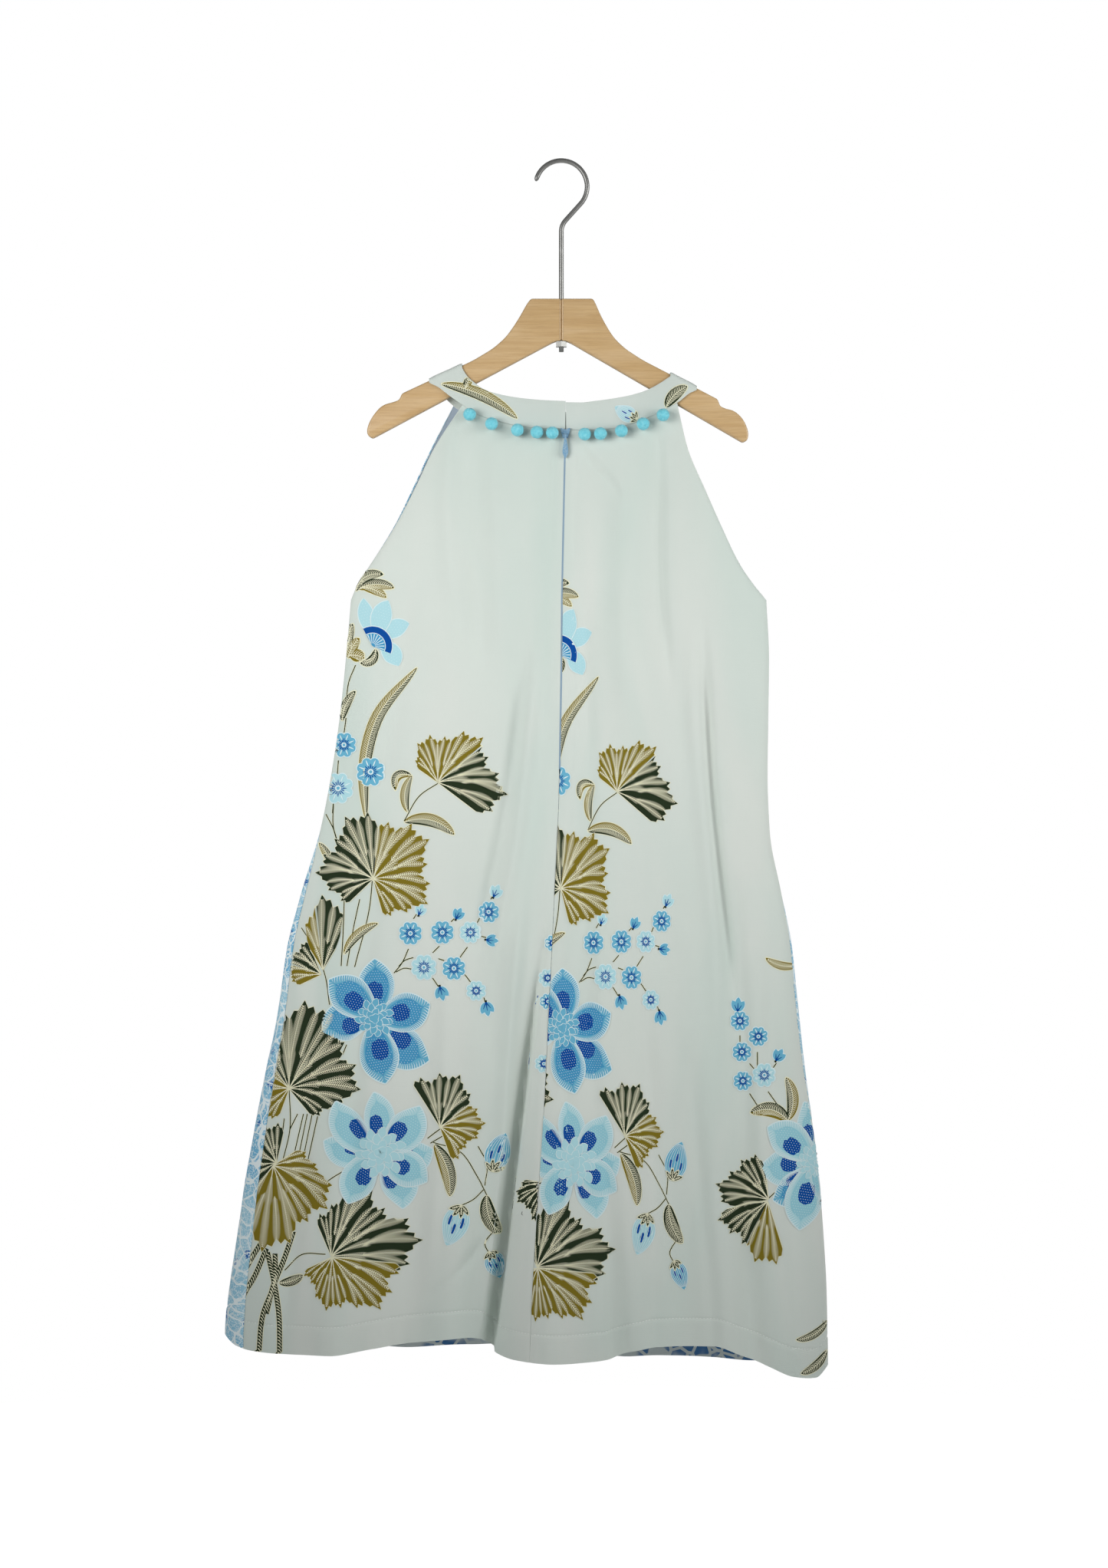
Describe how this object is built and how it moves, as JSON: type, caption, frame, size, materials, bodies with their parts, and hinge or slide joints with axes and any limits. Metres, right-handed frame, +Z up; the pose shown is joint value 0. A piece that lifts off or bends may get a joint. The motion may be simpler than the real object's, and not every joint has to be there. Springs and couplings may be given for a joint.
{
  "type": "halter dress on a wooden hanger",
  "caption": "Sleeveless halter dress with an A-line skirt, a pompom-trimmed neckband and a zip at the centre back, hanging on a wooden hanger by its wire hook.",
  "frame": {"origin": "the inside top of the hanger's hook, where a rail bears", "axes": "+Z up, -Y out of the back of the dress, towards the viewer of the picture, +X to that viewer's right"},
  "size_m": [0.6283, 0.1155, 1.2679],
  "materials": {
    "cotton": "matte pale grey-green cotton with a blue and olive flower and leaf print",
    "band_cotton": "the same printed cotton, folded and stiffened as a band",
    "yarn": "fluffy turquoise yarn",
    "nylon": "woven pale blue zip tape and coil",
    "enamel": "smooth pale blue enamel",
    "wood": "clear satin varnish over pale wood",
    "steel": "bright drawn wire"
  },
  "bodies": {
    "dress": {"back_left": "cotton", "back_right": "cotton", "front": "cotton", "neckband": "band_cotton", "zip_chain": "nylon", "zip_slider": "enamel", "hanger_left": "wood", "hanger_right": "wood", "hook": "steel", "hook_nut": "steel", "pompom_back_1": "yarn", "pompom_back_2": "yarn", "pompom_back_3": "yarn", "pompom_back_4": "yarn", "pompom_back_5": "yarn", "pompom_back_6": "yarn", "pompom_back_7": "yarn", "pompom_back_8": "yarn", "pompom_back_9": "yarn", "pompom_back_10": "yarn", "pompom_front_1": "yarn", "pompom_front_2": "yarn", "pompom_front_3": "yarn", "pompom_front_4": "yarn", "pompom_front_5": "yarn", "pompom_front_6": "yarn", "pompom_front_7": "yarn", "pompom_front_8": "yarn", "pompom_front_9": "yarn", "pompom_front_10": "yarn"},
    "zip_pull": {"zip_pull": "enamel"}
  },
  "joints": [
    {"name": "zip_pull_hinge", "type": "hinge", "parent": "dress", "child": "zip_pull", "pos_m": [0.0042, -0.01507, -0.2856], "axis": [-1, 0, 0], "range_deg": [0, 160]}
  ]
}
